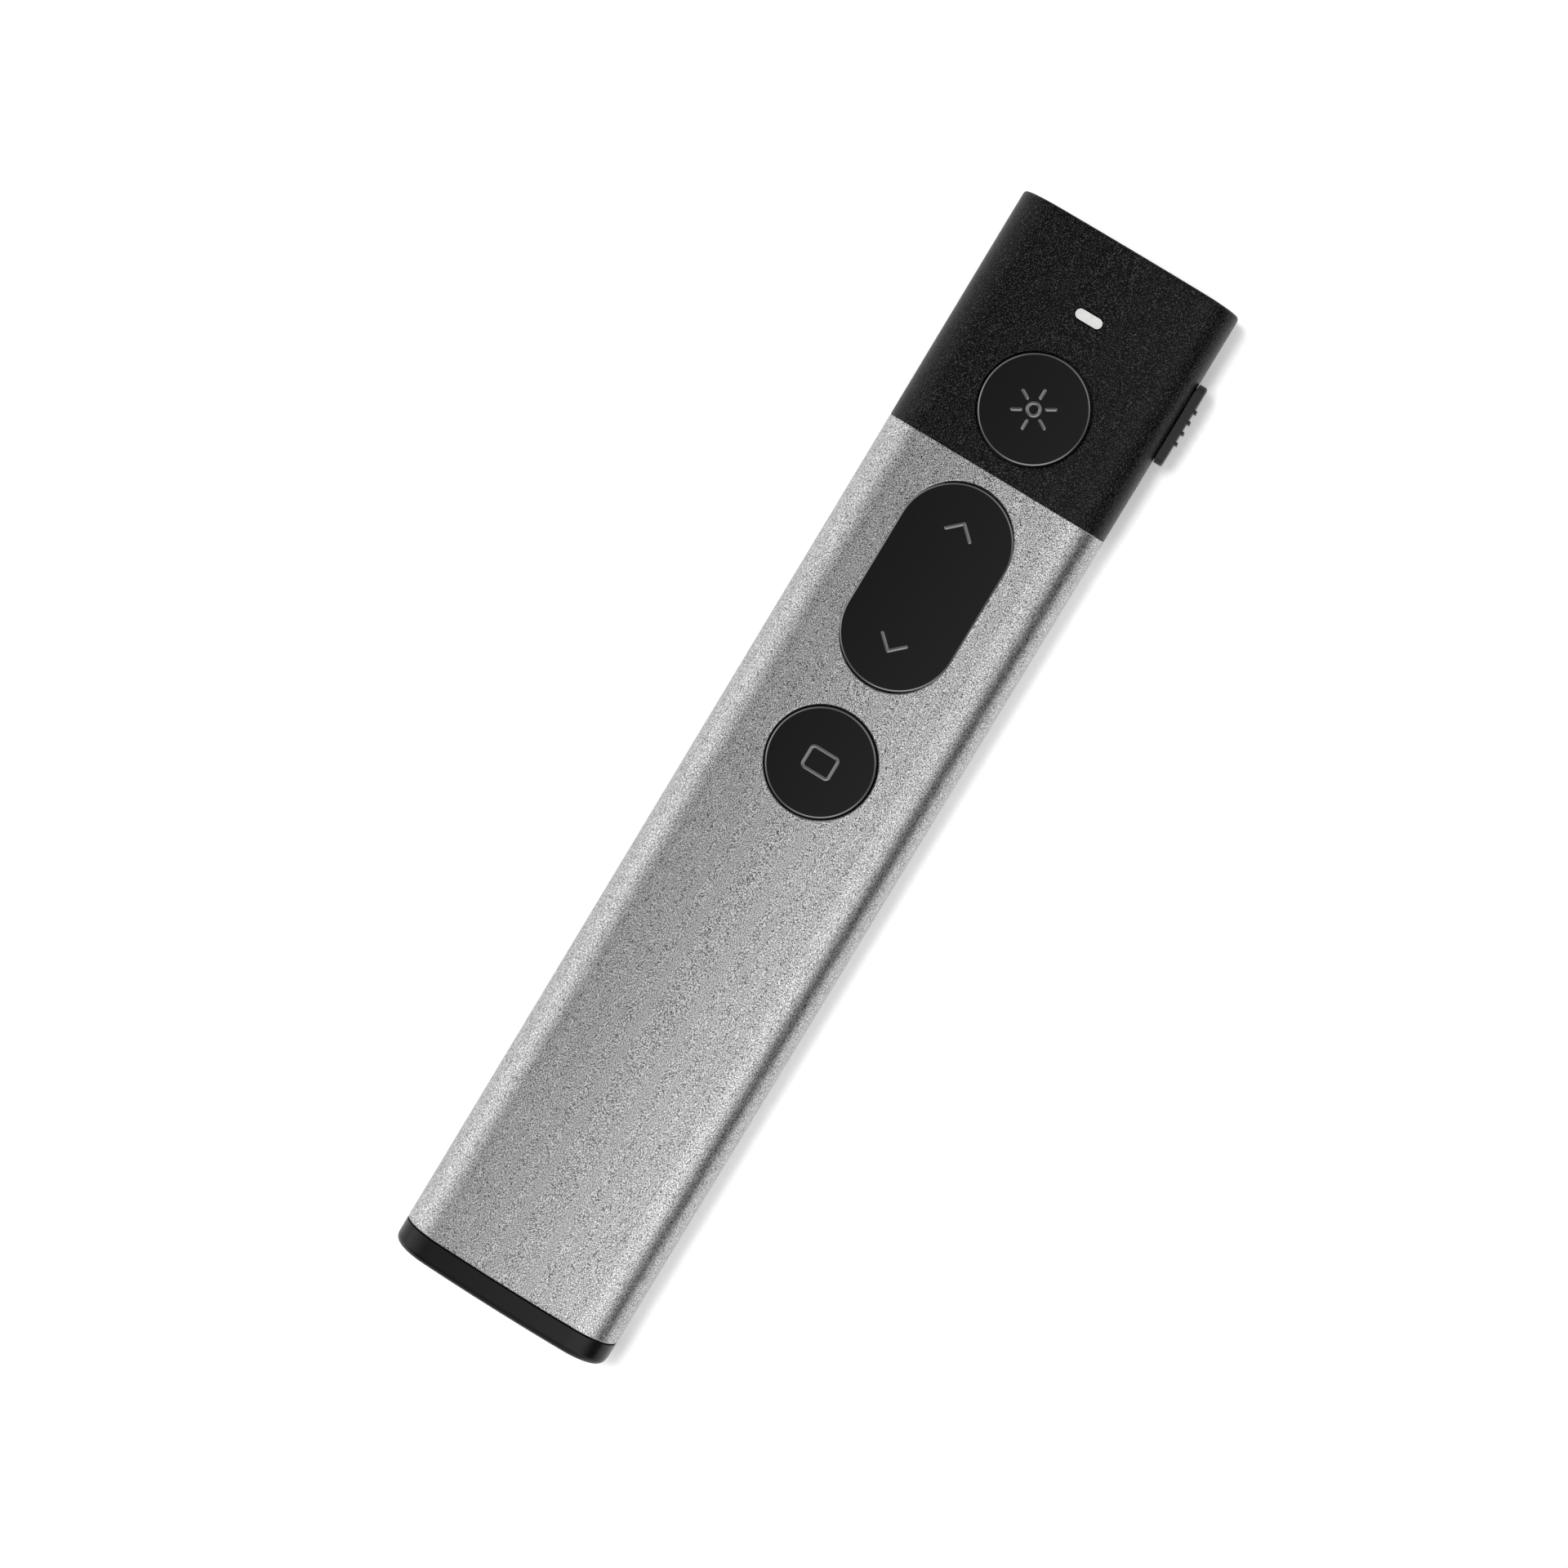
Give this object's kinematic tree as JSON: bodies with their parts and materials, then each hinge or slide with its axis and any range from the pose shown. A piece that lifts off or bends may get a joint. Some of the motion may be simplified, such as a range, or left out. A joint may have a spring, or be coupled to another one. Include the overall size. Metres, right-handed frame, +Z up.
{
  "type": "wireless presentation clicker",
  "caption": "Slim handheld slide remote: aluminium sleeve, black nose with laser and side power slider, page rocker, two round keys and a pull-out USB receiver as its tail cap.",
  "frame": {"origin": "centre of the flat underside, half way along the body and half way across its width without the slider", "axes": "+X along the body towards the laser nose, +Z up out of the key face, -Y towards the power slider"},
  "size_m": [0.1342, 0.0284, 0.0113],
  "materials": {
    "anodised_aluminium": "bead-blasted, clear silver-grey anodised",
    "textured_black_plastic": "fine spark-eroded matt texture",
    "satin_black_keys": "smooth satin",
    "gloss_black_cap": "smooth semi-gloss",
    "slider_black": "smooth satin",
    "light_pipe_white": "milky diffusing lens",
    "smoked_window": "polished, dark red tint",
    "clear_lens": "polished",
    "machined_brass": "turned",
    "plated_steel": "nickel plated sheet",
    "gold_contacts": "gold plated",
    "inner_plastic": "moulded, black",
    "board_green": "solder mask",
    "chip_black": "moulded package",
    "led_package": "clear epoxy on a white body",
    "silicone_rubber": "translucent grey, matt",
    "foam": "open foam",
    "pouch_foil": "laminated foil",
    "screw_steel": "zinc plated"
  },
  "bodies": {
    "handset": {"aluminium_sleeve": "anodised_aluminium", "nose_housing": "textured_black_plastic", "laser_window": "smoked_window", "laser_barrel": "machined_brass", "laser_lens": "clear_lens", "laser_diode": "plated_steel", "status_led": "led_package", "led_light_pipe": "light_pipe_white", "laser_key_dome": "silicone_rubber", "screen_key_dome": "silicone_rubber", "forward_key_dome": "silicone_rubber", "back_key_dome": "silicone_rubber", "key_frame": "inner_plastic", "lower_chassis": "inner_plastic", "main_circuit_board": "board_green", "chassis_screws": "screw_steel", "radio_chip": "chip_black", "crystal_can": "plated_steel", "charging_chip": "chip_black", "battery_pouch": "pouch_foil", "battery_foam_pad": "foam", "battery_leads": "plated_steel", "power_switch_case": "plated_steel", "receiver_dock": "inner_plastic", "charge_port_shell": "plated_steel", "charge_port_tongue": "chip_black"},
    "laser_key": {"laser_keycap": "satin_black_keys"},
    "page_key": {"page_rocker": "satin_black_keys"},
    "screen_key": {"screen_keycap": "satin_black_keys"},
    "power_slider": {"power_knob": "slider_black", "power_switch_lever": "inner_plastic"},
    "receiver": {"receiver_housing": "gloss_black_cap", "receiver_usb_shell": "plated_steel", "receiver_tongue": "chip_black", "receiver_contacts": "gold_contacts", "receiver_board": "board_green", "receiver_chip": "chip_black"}
  },
  "joints": [
    {"name": "laser_press", "type": "slide", "parent": "handset", "child": "laser_key", "axis": [0, 0, -1], "range_m": [0, 0.00035], "stiffness_N_per_m": 1500, "springref_m": -0.0004, "deforming": ["laser_key_dome"]},
    {"name": "page_rock", "type": "hinge", "parent": "handset", "child": "page_key", "pos_m": [0.02496, 0, 0.0075], "axis": [0, 1, 0], "range_deg": [-1.9, 1.9], "stiffness_Nm_per_rad": 0.3, "deforming": ["forward_key_dome", "back_key_dome"]},
    {"name": "screen_press", "type": "slide", "parent": "handset", "child": "screen_key", "axis": [0, 0, -1], "range_m": [0, 0.00035], "stiffness_N_per_m": 1500, "springref_m": -0.0004, "deforming": ["screen_key_dome"]},
    {"name": "power_slide", "type": "slide", "parent": "handset", "child": "power_slider", "axis": [1, 0, 0], "range_m": [0, 0.002]},
    {"name": "receiver_pull", "type": "slide", "parent": "handset", "child": "receiver", "axis": [-1, 0, 0], "range_m": [0, 0.02]}
  ]
}
